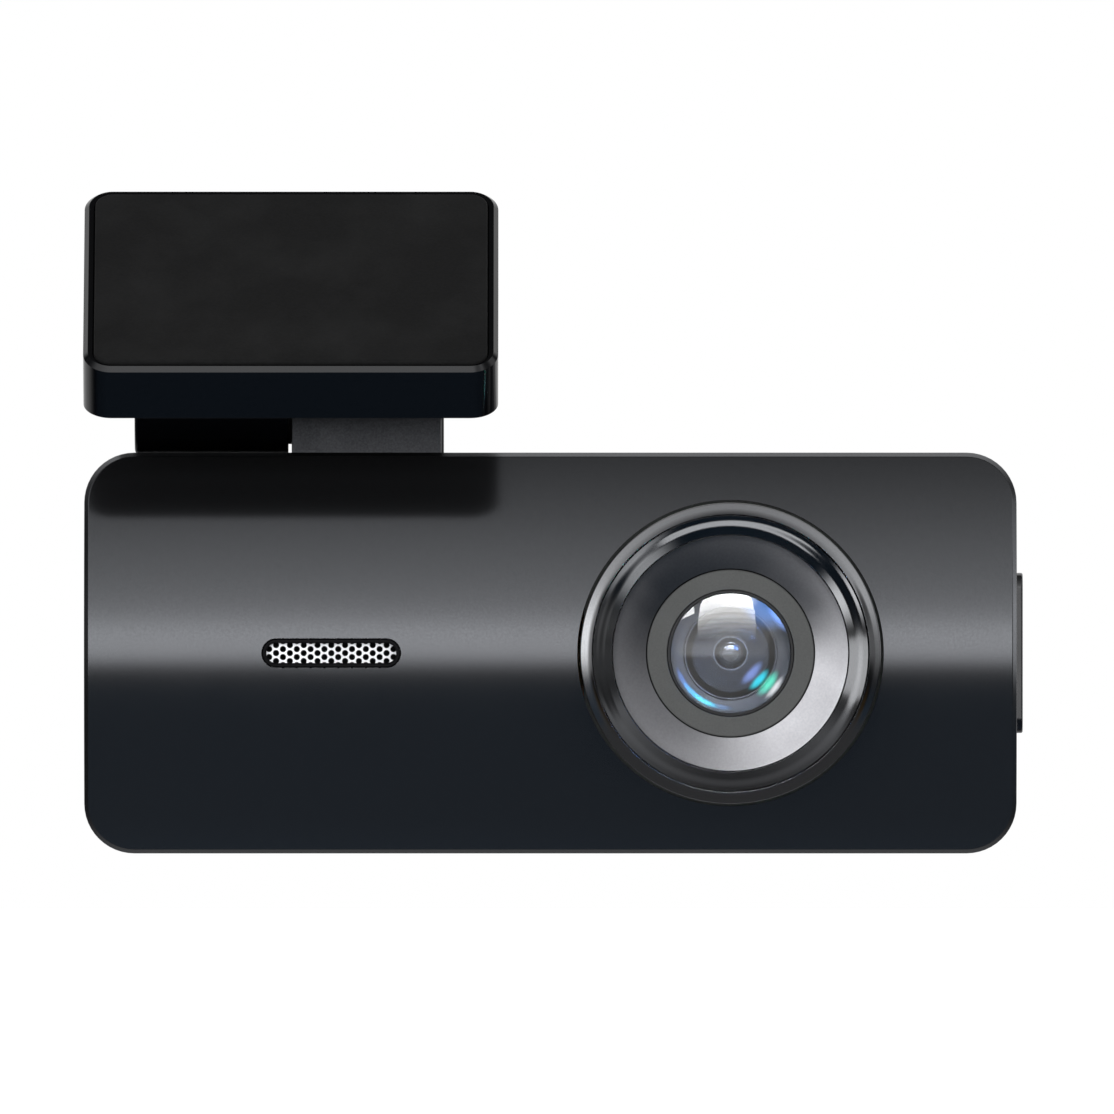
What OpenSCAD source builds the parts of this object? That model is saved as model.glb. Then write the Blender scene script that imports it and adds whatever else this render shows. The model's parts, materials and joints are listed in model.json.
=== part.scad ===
// Dash camera: a windscreen bracket with an adhesive pad, and a camera that tilts under it on a hinge.
// +X is the camera's lens end, -Y is the way the lens looks, +Z is up. Millimetres.
// The origin is the centre of the adhesive pad's outer face. Most modules draw in the camera's own frame:
// its origin is the crest of the front at mid-width and mid-height, and camera_frame() carries it to the pad.

/* [Camera body] */
// Width of the camera body
body_w = 86; // [86:0.5:90]
// Height of the camera body
body_h = 37; // [37:0.5:40]
// Depth of the body, from the crest of the front to the back
body_d = 22; // [22:0.5:24]
// Corner radius of the body, seen from the front
body_corner_r = 4.6; // [4:0.1:5]
// How far the front bulges forward at mid-height
front_bulge = 6; // [5.6:0.1:6.2]
// Wall thickness of the casing
wall = 1.5; // [1.3:0.1:1.6]

/* [Lens] */
// Distance of the lens axis from the middle of the body
lens_x = 16.6; // [16:0.1:17]
// How far the lens turret stands out from the crest of the front
turret_h = 4.5; // [4:0.1:5]
// Outer radius of the lens turret
turret_r = 13.85; // [13.6:0.05:13.9]
// Radius of the front lens element
glass_r = 5.5; // [5.4:0.1:5.6]

/* [Sound grille] */
// Distance of the grille from the middle of the body, towards the ports
grille_x = 20.2; // [19.8:0.1:20.6]
// Length of the grille slot
grille_l = 12.9; // [12:0.1:13.4]
// Height of the grille slot
grille_h = 2.75; // [2.5:0.05:3]
// Pitch of the holes in the mesh
mesh_pitch = 0.735; // [0.7:0.005:0.8]
// Diameter of the holes in the mesh
mesh_hole_d = 0.56; // [0.4:0.02:0.58]

/* [Side key] */
// Height of the side key
key_h = 14.8; // [12:0.1:15]
// Width of the side key, front to back
key_w = 4.4; // [3.6:0.1:4.6]
// How far the key stands out at rest
key_proud = 0.63; // [0.5:0.01:0.8]

/* [Bracket] */
// Width of the bracket
bracket_w = 38.2; // [38:0.1:40]
// Length of the bracket's top, up the slope
bracket_l = 25.7; // [25:0.1:27]
// Thickness of the bracket at its front edge
bracket_t = 5.96; // [5.8:0.02:6.2]
// Slope of the adhesive pad, from the horizontal
pad_slope = 40; // [38:0.5:42]
// Slope of the bracket's underside, from the horizontal
underside_slope = 30; // [29:0.5:31]
// Thickness of the adhesive pad
pad_t = 1.2; // [1:0.1:1.4]

/* [Hinge] */
// Outer radius of the hinge knuckles
knuckle_r = 4.6; // [4.3:0.1:4.6]
// Height of the hinge axis above the body
axis_above = 4.8; // [4.7:0.1:4.9]
// Distance of the hinge axis behind the crest of the front
axis_y = 13; // [13:0.1:13.4]
// Radius of the hinge pin
pin_r = 1.5; // [1.3:0.1:1.6]

/* [Hidden] */
$fn = 72;
eps = 0.5;                       // how far a cutter runs past a face
snug = 0.1;                      // gap between pieces that are fitted by hand

// Casing
front_r = (pow(body_h / 2, 2) + pow(front_bulge, 2)) / (2 * front_bulge);
cover_d = 3;                     // depth of the rear cover
parting_y = body_d - cover_d;
inner_back = body_d - wall;
top_z = body_h / 2;
roof_z = top_z - wall;
side_x = body_w / 2;
boss_r = 2.2;
screw_r = 0.8;
head_r = 1.5;
corner_screws = [for (x = [-1, 1], z = [-1, 1]) [x * (side_x - 4.7), z * (top_z - 4.7)]];

// Boards
board_y = 16.4;                  // front face of the main board
board_t = 1;
board_back = board_y + board_t;
board_posts = [for (x = [-29, 33], z = [-1, 1]) [x, z * (top_z - 4.9)]];
post_r = 1.5;
post_screw_r = 0.6;
sensor_board_y = 14.4;
sensor_board_t = 0.9;
sensor_posts = [for (x = [-12, 12], z = [-11.5, 11.5]) [lens_x + x, z]];

// Lens: the second number of each is the distance forward of the crest of the front
shell_hole_r = turret_r + 0.2;
ridge_r = 0.575;                 // rounding of the bezel's rim
bezel_in_r = turret_r - 2 * ridge_r;
trim_in_r = bezel_in_r - 1.8;
turret_back = -7.5;
cone_in_r = 7.8;
ledge = -3.3;                    // where the trim ring and the cone rest in the bezel
collar_front = 2.3;
head_in_r = glass_r + 0.02;
head_r_lens = cone_in_r - 0.08;
thread_r = 5.95;
dome_r = 8;
dome_edge = 2;                   // where the dome's rim lies
dome_top = dome_edge + dome_r - sqrt(pow(dome_r, 2) - pow(glass_r, 2));

// Ports, on the -X side
port_z = -6.8;
port_w = 8.94;
port_t = 3.2;
card_z = 5.4;
card_w = 11;
card_l = 15;
card_t = 0.8;
card_y = board_y - 1.1;

// Key, on the +X side
key_y = 12;
key_gap = 0.12;
key_travel = 0.4;
flange_x = side_x - wall - 0.05;
plunger_tip = side_x - 3.4;

// Hinge
axis_z = top_z + axis_above;
split_x = -24.045;               // middle of the gap between the knuckles
split_gap = 0.32;
arm_l = 14.2;
knuckle_l = 14.05;
arm_r = knuckle_r + 0.25;        // the arm's round end turns in a trough in the roof of the case
trough_gap = 0.2;
arm_x0 = split_x - split_gap / 2 - arm_l;
arm_x1 = split_x - split_gap / 2;
body_x0 = split_x + split_gap / 2;
body_x1 = split_x + split_gap / 2 + knuckle_l;
end_plate = 0.3;                 // thickness of the cap on the body's knuckle
pocket_x = body_x1 - end_plate - 3.2;

// Bracket, in the pad's frame: X across, Y up the slope, Z out of the pad
rim_z = -0.4;                    // the rim lies this far under the pad's face
margin_side = 1;
margin_high = 0.9;
margin_low = 0.7;
pad_w = bracket_w - 2 * margin_side;
pad_l = bracket_l - margin_high - margin_low;
low_edge = -pad_l / 2 - margin_low;
outline_y = low_edge + bracket_l / 2;
bracket_r = 2.6;
bracket_wall = 1.5;
plate_t = 1.4;
plate_z = -pad_t - plate_t;
plate_screws = [for (x = [-15.5, 15.5], y = [-9.4, 9.4]) [x, y]];

// Where the pad's centre lies in the camera's frame. The underside's front edge clears the body by this much.
under_clear = 3.09;
overhang = 6;
pad_x = -side_x + bracket_w / 2;
front_edge = [-overhang, top_z + under_clear];
pad_yz = front_edge + (bracket_t - rim_z) * [-sin(pad_slope), cos(pad_slope)]
    - low_edge * [cos(pad_slope), sin(pad_slope)];
pad_centre = [pad_x, pad_yz[0], pad_yz[1]];
// Distance from the hinge axis to the bracket's underside
arm_reach = (axis_y - front_edge[0]) * sin(underside_slope) - (axis_z - front_edge[1])
    * cos(underside_slope);

// ---------- helpers ----------

module camera_frame() translate(-pad_centre) children();
module pad_frame() rotate([pad_slope, 0, 0]) children();

// A flat shape in X and Z, given thickness from y0 to y1
module along_y(y0, y1) translate([0, y1, 0]) rotate([90, 0, 0]) linear_extrude(y1 - y0) children();
// A flat shape in Y and Z, given thickness from x0 to x1
module along_x(x0, x1) translate([x0, 0, 0]) rotate([90, 0, 90]) linear_extrude(x1 - x0) children();
module rod_y(x, z, r, y0, y1) translate([x, y0, z]) rotate([-90, 0, 0]) cylinder(r = r, h = y1 - y0);
module rod_x(y, z, r, x0, x1) translate([x0, y, z]) rotate([0, 90, 0]) cylinder(r = r, h = x1 - x0);
module block(x, y, z) translate([x[0], y[0], z[0]]) cube([x[1] - x[0], y[1] - y[0], z[1] - z[0]]);
module span(x, y0, y1, z) block([x[0] - x[1] / 2, x[0] + x[1] / 2], [y0, y1], [z[0] - z[1] / 2,
    z[0] + z[1] / 2]);

module rounded(w, h, r) {
    square([w - 2 * r, h], center = true);
    square([w, h - 2 * r], center = true);
    for (x = [-1, 1], y = [-1, 1])
        translate([x * (w / 2 - r), y * (h / 2 - r)]) circle(r);
}
module stadium(l, h) {
    square([l - h, h], center = true);
    for (x = [-1, 1]) translate([x * (l - h) / 2, 0]) circle(h / 2);
}
// A turned part on the lens axis: the profile's X is the radius, its Y the distance forward of the crest
module turned() translate([lens_x, 0, 0]) rotate([90, 0, 0]) rotate_extrude() children();
module ring(r0, r1, s0, s1) translate([r0, s0]) square([r1 - r0, s1 - s0]);

// ---------- bracket ----------

module wedge(inset, floor_t, roof) intersection() {
    translate([0, outline_y, roof - 20]) linear_extrude(20)
        rounded(bracket_w - 2 * inset, bracket_l - 2 * inset, bracket_r - inset);
    translate([0, low_edge, rim_z - bracket_t]) rotate([underside_slope - pad_slope, 0, 0])
        translate([-50, -50, floor_t]) cube([100, 150, 60]);
}
module pad_outline(grow) rounded(pad_w + 2 * grow, pad_l + 2 * grow, 1.6 + grow);
module bracket_shell() color("#0b0c0f") pad_frame() difference() {
    union() {
        difference() {
            wedge(0, 0, rim_z);
            wedge(bracket_wall + 0.7, bracket_wall, plate_z);
        }
        intersection() {
            wedge(bracket_wall, 0, plate_z);
            for (p = plate_screws) translate([p[0], p[1], -20]) cylinder(r = 2, h = 20 + plate_z);
        }
    }
    translate([0, 0, plate_z]) linear_extrude(5) pad_outline(0.05);
    for (p = plate_screws) translate([p[0], p[1], plate_z - 2.4]) cylinder(r = screw_r, h = 4);
    rotate([-pad_slope, 0, 0]) camera_frame() arm_screw_holes(screw_r + 0.05, arm_reach - 1, 3);
}
module pad_plate() color("#15161a") pad_frame() difference() {
    translate([0, 0, plate_z]) linear_extrude(plate_t) pad_outline(0);
    for (p = plate_screws) {
        translate([p[0], p[1], plate_z - eps]) cylinder(r = screw_r + 0.05, h = plate_t + 2 * eps);
        translate([p[0], p[1], -pad_t - 0.7]) cylinder(r = head_r + 0.05, h = 2);
    }
}
module adhesive_pad() color("#212121") pad_frame() translate([0, 0, -pad_t]) linear_extrude(pad_t)
    pad_outline(0);
module pad_plate_screws() color("silver") pad_frame() for (p = plate_screws) translate([p[0], p[1], 0]) {
    translate([0, 0, -pad_t - 0.65]) cylinder(r = head_r, h = 0.65);
    translate([0, 0, plate_z - 2.2]) cylinder(r = screw_r, h = 2.2 + plate_t - 0.6);
}

// ---------- hinge ----------

module on_axis() translate([0, axis_y, axis_z]) rotate([underside_slope, 0, 0]) children();
module arm_screw_holes(r, from, to_len) on_axis() for (x = [arm_x0 + 4.2, arm_x1 - 3.6])
    translate([x, 0, from]) cylinder(r = r, h = to_len);
module hinge_arm() color("#060608") camera_frame() difference() {
    along_x(arm_x0, arm_x1) translate([axis_y, axis_z]) {
        circle(arm_r);
        rotate(underside_slope) translate([-arm_r, 0]) square([2 * arm_r, arm_reach]);
    }
    rod_x(axis_y, axis_z, pin_r, arm_x0 - eps, arm_x1 + eps);
    rod_x(axis_y, axis_z, 2.5, arm_x0 - eps, arm_x0 + 2);
    rod_x(axis_y, axis_z, 3.2, arm_x0 - eps, arm_x0 + 0.8);
    arm_screw_holes(screw_r, arm_reach - 2.8, 4);
}
module hinge_arm_screws() color("silver") camera_frame() on_axis() for (x = [arm_x0 + 4.2, arm_x1 - 3.6])
    translate([x, 0, 0]) {
        translate([0, 0, arm_reach - 2.7]) cylinder(r = screw_r, h = 2.7 + bracket_wall + 0.2);
        translate([0, 0, arm_reach + bracket_wall]) cylinder(r = head_r, h = 0.8);
    }
module hinge_pin() color("lightsteelblue") camera_frame() {
    rod_x(axis_y, axis_z, pin_r, arm_x0 + 1.9, pocket_x + 2.3);
    rod_x(axis_y, axis_z, 2.4, arm_x0 + 0.9, arm_x0 + 2);
}
module hinge_cap_left() color("#060608") camera_frame() rod_x(axis_y, axis_z, 3.2, arm_x0, arm_x0 + 0.8);
module friction_washer() color("#1a1a1c") camera_frame() difference() {
    rod_x(axis_y, axis_z, 4, arm_x1, arm_x1 + split_gap - 0.03);
    rod_x(axis_y, axis_z, pin_r + 0.02, arm_x1 - eps, arm_x1 + eps);
}
// Two coned washers, back to back
module disc_springs() color("goldenrod") camera_frame() for (flip = [0, 1])
    translate([pocket_x + 0.49 + (flip ? 0.01 : -0.01), axis_y, axis_z]) mirror([flip, 0, 0])
        rotate([0, -90, 0])
        rotate_extrude() polygon([[pin_r + 0.05, 0], [3.1, 0.25], [3.1, 0.44], [pin_r + 0.05, 0.19]]);
module lock_nut() color("silver") camera_frame() difference() {
    translate([pocket_x + 0.95, axis_y, axis_z]) rotate([0, 90, 0]) cylinder(r = 2.95, h = 1.2, $fn = 6);
    rod_x(axis_y, axis_z, pin_r, pocket_x, pocket_x + 4);
}
module knuckle_profile() {
    translate([axis_y, axis_z]) circle(knuckle_r);
    translate([axis_y - knuckle_r, top_z]) square([2 * knuckle_r, axis_above]);
}
knuckle_screw_x = [body_x0 + 3.4, body_x0 + 8.4];
module body_knuckle() color("#3a3c40") camera_frame() difference() {
    along_x(body_x0, body_x1 - end_plate) knuckle_profile();
    rod_x(axis_y, axis_z, pin_r + 0.03, body_x0 - eps, body_x1);
    rod_x(axis_y, axis_z, 3.4, pocket_x, body_x1);
    for (x = knuckle_screw_x) translate([x, axis_y, top_z - eps]) cylinder(r = screw_r, h = 2.6 + eps);
}
module hinge_cap_right() color("#060608") camera_frame() along_x(body_x1 - end_plate, body_x1)
    knuckle_profile();
module knuckle_screws() color("silver") camera_frame() for (x = knuckle_screw_x) translate([x, axis_y, 0]) {
    translate([0, 0, roof_z]) cylinder(r = screw_r, h = wall + 2.5);
    translate([0, 0, roof_z - 1.2]) cylinder(r = head_r, h = 1.2);
}

// ---------- casing ----------

module casing_outline(inset) rounded(body_w - 2 * inset, body_h - 2 * inset, body_corner_r - inset);
module bulged(inset, y1) intersection() {
    along_y(0, y1) casing_outline(inset);
    rod_x(front_r, 0, front_r - inset, -side_x - 1, side_x + 1);
}
module key_outline(grow) rounded(key_w + 2 * grow, key_h + 2 * grow, 1.4 + grow);
module front_shell() color("#33363b") camera_frame() difference() {
    union() {
        difference() {
            bulged(0, parting_y);
            bulged(wall, parting_y + eps);
        }
        // Bosses, posts and collars grow from the inside of the front wall
        intersection() {
            bulged(wall / 2, parting_y);
            union() {
                for (p = corner_screws) rod_y(p[0], p[1], boss_r, 0, parting_y);
                for (p = board_posts) rod_y(p[0], p[1], post_r, 0, board_y);
                for (p = sensor_posts) rod_y(p[0], p[1], 1.4, 0, sensor_board_y);
                rod_y(lens_x, 0, turret_r + 1.5, 0, 8);
                difference() {
                    rod_y(-grille_x, 0, 9.1, 0, 6.7);
                    rod_y(-grille_x, 0, 8.1, -1, 7.5);
                }
            }
        }
        // Ribs that hold the key board
        for (s = [-1, 1]) mirror([0, 0, s > 0 ? 0 : 1])
            block([side_x - 6.6, side_x - wall + 0.1], [key_y - 3.1, key_y + 3.1], [9, 10.2]);
    }
    rod_y(lens_x, 0, shell_hole_r, -eps, 9);
    rod_x(axis_y, axis_z, arm_r + trough_gap, arm_x0 - 0.25, split_x);
    along_y(-eps, wall + 1.4) translate([-grille_x, 0]) stadium(grille_l, grille_h);
    along_x(side_x - wall - 0.2, side_x + eps) translate([key_y, 0]) key_outline(key_gap);
    // Slots for the key board's edges
    block([side_x - 5.85, side_x - 4.95], [key_y - 3.5, key_y + 3.5], [-9.55, 9.55]);
    // Power and memory card openings
    along_x(-side_x - eps, -side_x + wall + 0.2) translate([board_y - port_t / 2, port_z]) rotate(90)
        stadium(port_w + 0.4, port_t + 0.4);
    along_x(-side_x - eps, -side_x + wall + 0.2) translate([card_y, card_z])
        rounded(1.5, card_w + 0.8, 0.7);
    for (p = corner_screws) rod_y(p[0], p[1], screw_r - 0.05, 11, parting_y + eps);
    for (p = board_posts) rod_y(p[0], p[1], post_screw_r, 11, board_y + eps);
    for (p = sensor_posts) rod_y(p[0], p[1], post_screw_r, 10, sensor_board_y + eps);
    for (x = knuckle_screw_x) translate([x, axis_y, roof_z - eps])
        cylinder(r = screw_r + 0.05, h = wall + 2 * eps);
    // Microphone hole in the underside
    translate([-20, 12, -top_z - eps]) cylinder(r = 0.5, h = wall + 2 * eps);
}
vent_l = 16;
vent_h = 1.1;
module rear_cover() color("#2c2e33") camera_frame() difference() {
    union() {
        difference() {
            along_y(parting_y, body_d) casing_outline(0);
            along_y(parting_y - eps, inner_back) casing_outline(wall);
        }
        for (p = corner_screws) rod_y(p[0], p[1], boss_r + 0.4, parting_y, inner_back + 0.2);
        // Tongues that locate the cover in the front shell
        for (z = [-1, 1]) span([0, 58], parting_y - 1.2, parting_y + 1.6, [z * (roof_z - 0.6), 1]);
        for (x = [-1, 1]) span([x * (side_x - wall - 0.6), 1], parting_y - 1.2, parting_y + 1.6, [0, 16]);
    }
    for (p = corner_screws) {
        rod_y(p[0], p[1], screw_r + 0.05, parting_y - eps, body_d + eps);
        rod_y(p[0], p[1], head_r + 0.1, body_d - 1.2, body_d + eps);
    }
    for (i = [-2:2]) along_y(inner_back - eps, body_d + eps) translate([20, 2.4 * i])
        stadium(vent_l, vent_h);
    rod_y(-32, 9, 1.02, inner_back - eps, body_d + eps);
}
module rear_cover_screws() color("silver") camera_frame() for (p = corner_screws) difference() {
    union() {
        rod_y(p[0], p[1], head_r, body_d - 1.2, body_d - 0.25);
        rod_y(p[0], p[1], screw_r - 0.05, 11.4, body_d - 1);
    }
    for (a = [0, 90]) translate([p[0], body_d - 0.25, p[1]]) rotate([0, a, 0])
        cube([1.8, 0.8, 0.35], center = true);
}

// ---------- lens ----------

module lens_bezel() color("#3b3c40") camera_frame() turned() {
    ring(bezel_in_r, turret_r, turret_back, turret_h - 0.7);
    polygon([[bezel_in_r, 0], [turret_r, 0], [turret_r, turret_h - 0.68], [turret_r - 0.07,
        turret_h - 0.58],
        [turret_r - 0.6, turret_h - 0.4], [turret_r - 0.87, turret_h - 0.23], [turret_r - 1.05,
            turret_h - 0.03],
        [turret_r - 1.11, turret_h], [bezel_in_r, turret_h - 0.04]]);
    ring(trim_in_r - 0.9, turret_r, ledge - 1.2, ledge);
}
// Groove and step between the rim and the cone
module lens_trim_ring() color("#2a2b2e") camera_frame() turned()
    polygon([[trim_in_r, ledge], [bezel_in_r - 0.05, ledge], [bezel_in_r - 0.05, turret_h - 0.55],
        [bezel_in_r - 0.25, turret_h - 0.76], [bezel_in_r - 0.6, turret_h - 0.89],
        [bezel_in_r - 0.95, turret_h - 0.84], [bezel_in_r - 1.2, turret_h - 0.75],
        [bezel_in_r - 1.28, turret_h - 0.78], [trim_in_r, turret_h - 1.35]]);
module lens_cone() color("#a4a5ab") camera_frame() turned()
    polygon([[trim_in_r - 0.05, turret_h - 1.4], [cone_in_r, collar_front - 0.15], [cone_in_r,
        collar_front - 0.9],
        [trim_in_r - 0.9, 2], [trim_in_r - 0.9, ledge], [trim_in_r - 0.05, ledge]]);
module lens_collar() color("#5c5e5c") camera_frame() turned()
    ring(glass_r + 0.35, head_r_lens, 1.7, collar_front);
module lens_barrel() color("#101012") camera_frame() turned() difference() {
    union() {
        ring(0, head_r_lens, -2, 1.7);
        ring(0, glass_r + 0.35, 1, collar_front - 0.1);
        ring(0, thread_r, -12, -1);
    }
    ring(0, head_in_r, 0.2, 4);
    polygon([[0, 0.3], [4.5, 0.3], [4.5, -0.3], [4, -0.3], [4, -1.2], [0, -1.2]]);
    ring(0, 3.2, -3.6, 0);
    ring(0, 2.6, -13, 0);
}
// Meniscus: a convex dome outside and a deep hollow inside
module front_lens() color("lightblue", 0.4) camera_frame() turned() difference() {
    intersection() {
        translate([0, dome_top - dome_r]) circle(dome_r);
        ring(0, glass_r, 0.6, 6);
    }
    translate([0, -2.2]) circle(4.9);
    translate([-20, -20]) square([20, 40]);
}
module lens_spacer() color("#0a0a0b") camera_frame() turned()
    polygon([[4.1, 0.2], [glass_r, 0.2], [glass_r, 0.6], [4.6, 0.6]]);
module second_lens() color("lightblue", 0.4) camera_frame() turned() difference() {
    intersection() {
        translate([0, -5.2]) circle(5.8);
        ring(0, 3.95, -1.2, 1);
    }
    translate([-20, -20]) square([20, 40]);
}
module aperture_stop() color("#0a0a0b") camera_frame() turned() ring(1.2, 3.15, -1.5, -1.35);
module third_lens() color("lightblue", 0.4) camera_frame() turned() difference() {
    intersection() {
        translate([0, -6.2]) circle(4.5);
        ring(0, 3.15, -3.6, -1.6);
    }
    translate([-20, -20]) square([20, 40]);
}
module ir_filter() color("#d08090", 0.5) camera_frame() span([lens_x, 7.6], 12.75, 13.05, [0, 6.6]);
module lens_holder() color("#141416") camera_frame() difference() {
    union() {
        rod_y(lens_x, 0, 7.4, 2.2, 10);
        span([lens_x, 16], 8.7, sensor_board_y, [0, 16]);
    }
    rod_y(lens_x, 0, thread_r, 2, 12.1);
    rod_y(lens_x, 0, 3.2, 12, 13);
    span([lens_x, 7.8], 12.7, 13.1, [0, 6.8]);
    span([lens_x, 9.2], 13.05, sensor_board_y + eps, [0, 8]);
}
module image_sensor() color("#26323c") camera_frame() span([lens_x, 8], sensor_board_y - 0.9,
    sensor_board_y, [0, 6.6]);
module sensor_board() color("darkgreen") camera_frame() difference() {
    span([lens_x, 27], sensor_board_y, sensor_board_y + sensor_board_t, [0, 26]);
    for (p = sensor_posts) rod_y(p[0], p[1], post_screw_r + 0.05, sensor_board_y - eps, sensor_board_y + 2);
}
module sensor_board_screws() color("silver") camera_frame() for (p = sensor_posts) {
    rod_y(p[0], p[1], post_screw_r, 10.4, sensor_board_y + sensor_board_t + 0.1);
    rod_y(p[0], p[1], 1.2, sensor_board_y + sensor_board_t, sensor_board_y + sensor_board_t + 0.6);
}
flex_y = sensor_board_y + sensor_board_t;
module sensor_flex() color("darkorange") camera_frame() block([-6, 7], [flex_y, flex_y + 0.12], [-4, 4]);

// ---------- sound ----------

module grille_frame() color("#08090b") camera_frame() along_y(0.35, wall + 0.5)
    translate([-grille_x, 0]) difference() {
    stadium(grille_l - 0.06, grille_h - 0.06);
    stadium(grille_l - 0.95, grille_h - 1);
}
module grille_mesh() color("#c9cacc") camera_frame() along_y(wall + 0.5, wall + 0.75)
    translate([-grille_x, 0])
    difference() {
        stadium(grille_l + 1, grille_h + 0.9);
        for (i = [-10:10], j = [-2:2])
            let (x = i * mesh_pitch * sqrt(3) / 2, z = (j + (i % 2 == 0 ? 0 : 0.5)) * mesh_pitch)
                if (abs(z) < grille_h / 2 && abs(x) < grille_l / 2 + 0.1) translate([x, z])
                    circle(mesh_hole_d / 2, $fn = 24);
    }
module speaker_gasket() color("#101010") camera_frame() difference() {
    rod_y(-grille_x, 0, 8, 3, 4.3);
    rod_y(-grille_x, 0, 7.2, 2, 5);
}
module speaker() color("#1c1d20") camera_frame() difference() {
    union() {
        rod_y(-grille_x, 0, 8, 4.3, 7.1);
        rod_y(-grille_x, 0, 5.4, 7.1, 8.5);
    }
    // Dished cone
    translate([-grille_x, -3.9, 0]) sphere(9.6);
}
contact_pins = [for (z = [-1.4, 1.4]) [-16.4, 8.5, z]];
battery_pins = [for (z = [-3, 3]) [-8.6, 13.3, z]];
module spring_contacts() color("gold") camera_frame() for (p = concat(contact_pins, battery_pins))
    rod_y(p[0], p[2], 0.4, p[1], board_y);

// ---------- electronics ----------

module main_board() color("darkgreen") camera_frame() difference() {
    union() {
        block([-35.5, 35.5], [board_y, board_back], [-15.2, 15.2]);
        block([-40.8, -35], [board_y, board_back], [-11.3, 11.3]);
    }
    for (p = board_posts) rod_y(p[0], p[1], post_screw_r + 0.05, board_y - eps, board_back + eps);
}
module main_board_screws() color("silver") camera_frame() for (p = board_posts) {
    rod_y(p[0], p[1], post_screw_r, 12, board_back + 0.1);
    rod_y(p[0], p[1], 1.2, board_back, board_back + 0.6);
}
module board_connectors() color("ivory") camera_frame() {
    block([-6, -3], [flex_y + 0.12, board_y], [-4.5, 4.5]);
    block([32, 34.6], [board_y - 0.5, board_y], [-2.6, 2.6]);
}
module processor() color("#17181a") camera_frame() span([-3, 13], board_back, board_back + 1.2, [0, 13]);
module memory_chip() color("#17181a") camera_frame() span([-16, 8], board_back, board_back + 1, [3, 10]);
module thermal_pad() color("lightpink") camera_frame() span([-3, 12], board_back + 1.2,
    inner_back - 1, [0, 12]);
module heat_spreader() color("silver") camera_frame() span([-3, 28], inner_back - 1, inner_back, [0, 24]);
module radio_module() color("gainsboro") camera_frame() span([25, 12], board_back, board_back + 1.7,
    [0, 14]);
module radio_antenna() color("goldenrod") camera_frame() span([24, 20], 9, 15, [-roof_z + 0.15, 0.3]);
module backup_battery() color("lightgrey") camera_frame() span([-4.2, 13.4], 8.6, 13.3, [0, 25]);
module microphone() color("#1c1c1e") camera_frame() translate([-20, 12, -roof_z]) difference() {
    cylinder(r = 2, h = 1.7);
    translate([0, 0, -eps]) cylinder(r = 0.5, h = eps + 0.8);
}
module indicator_led() color("white") camera_frame() span([-32, 1.6], board_back, board_back + 0.6,
    [9, 1.6]);
module light_pipe() color("azure", 0.6) camera_frame() rod_y(-32, 9, 1, board_back + 0.65, body_d);

// ---------- ports ----------

module power_socket() color("silver") camera_frame() translate([0, board_y - port_t / 2, port_z]) {
    difference() {
        along_x(-side_x + 0.6, -side_x + 8) rotate(90) stadium(port_w, port_t);
        along_x(-side_x, -side_x + 7.4) rotate(90) stadium(port_w - 0.5, port_t - 0.5);
    }
    block([-side_x + 1.6, -side_x + 7.6], [-0.35, 0.35], [-3.3, 3.3]);
}
module card_socket() color("gainsboro") camera_frame() difference() {
    block([-side_x + wall + 0.2, -side_x + 16.5], [board_y - 1.8, board_y], [card_z - 6.1, card_z + 6.1]);
    block([-side_x, -side_x + 15.7], [card_y - 0.5, card_y + 0.5], [card_z - 5.65, card_z + 5.65]);
}
// Flat plan of a small memory card: a notch on one long side and a chamfer near the contacts
module memory_card() color("#151517") camera_frame() translate([-side_x + 0.5, card_y + card_t / 2, card_z])
    rotate([90, 0, 0]) linear_extrude(card_t) polygon([
        [0, -card_w / 2], [card_l - 0.5, -card_w / 2], [card_l, -card_w / 2 + 0.5], [card_l,
            card_w / 2 - 1.5],
        [card_l - 6.4, card_w / 2 - 1.5], [card_l - 7.1, card_w / 2 - 0.8], [card_l - 7.8,
            card_w / 2 - 0.8],
        [card_l - 8.4, card_w / 2], [0, card_w / 2]]);

// ---------- side key ----------

module side_key_cap() color("#0d0e10") camera_frame() translate([0, key_y, 0]) {
    along_x(flange_x - 0.1, side_x + key_proud) key_outline(0);
    along_x(flange_x - 0.8, flange_x) rounded(key_w + 1.2, key_h + 1.4, 1.4);
    rod_x(0, 0, 1, plunger_tip, flange_x - 0.7);
}
module switch_plunger() color("ivory") camera_frame() rod_x(key_y, 0, 0.7, plunger_tip - 1, plunger_tip);
module key_switch() color("silver") camera_frame() difference() {
    block([side_x - 5, side_x - 3.8], [key_y - 1.6, key_y + 1.6], [-2, 2]);
    rod_x(key_y, 0, 0.75, side_x - 4.9, side_x);
}
module key_board() color("darkgreen") camera_frame() block([side_x - 5.8, side_x - 5], [key_y - 3,
    key_y + 3], [-9.5, 9.5]);
module key_flex() color("darkorange") camera_frame() {
    block([side_x - 5.95, side_x - 5.8], [key_y, board_y - 0.5], [-2, 2]);
    block([32.4, side_x - 5.8], [board_y - 0.65, board_y - 0.5], [-2, 2]);
}

// ---------- one node at a time ----------

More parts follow.
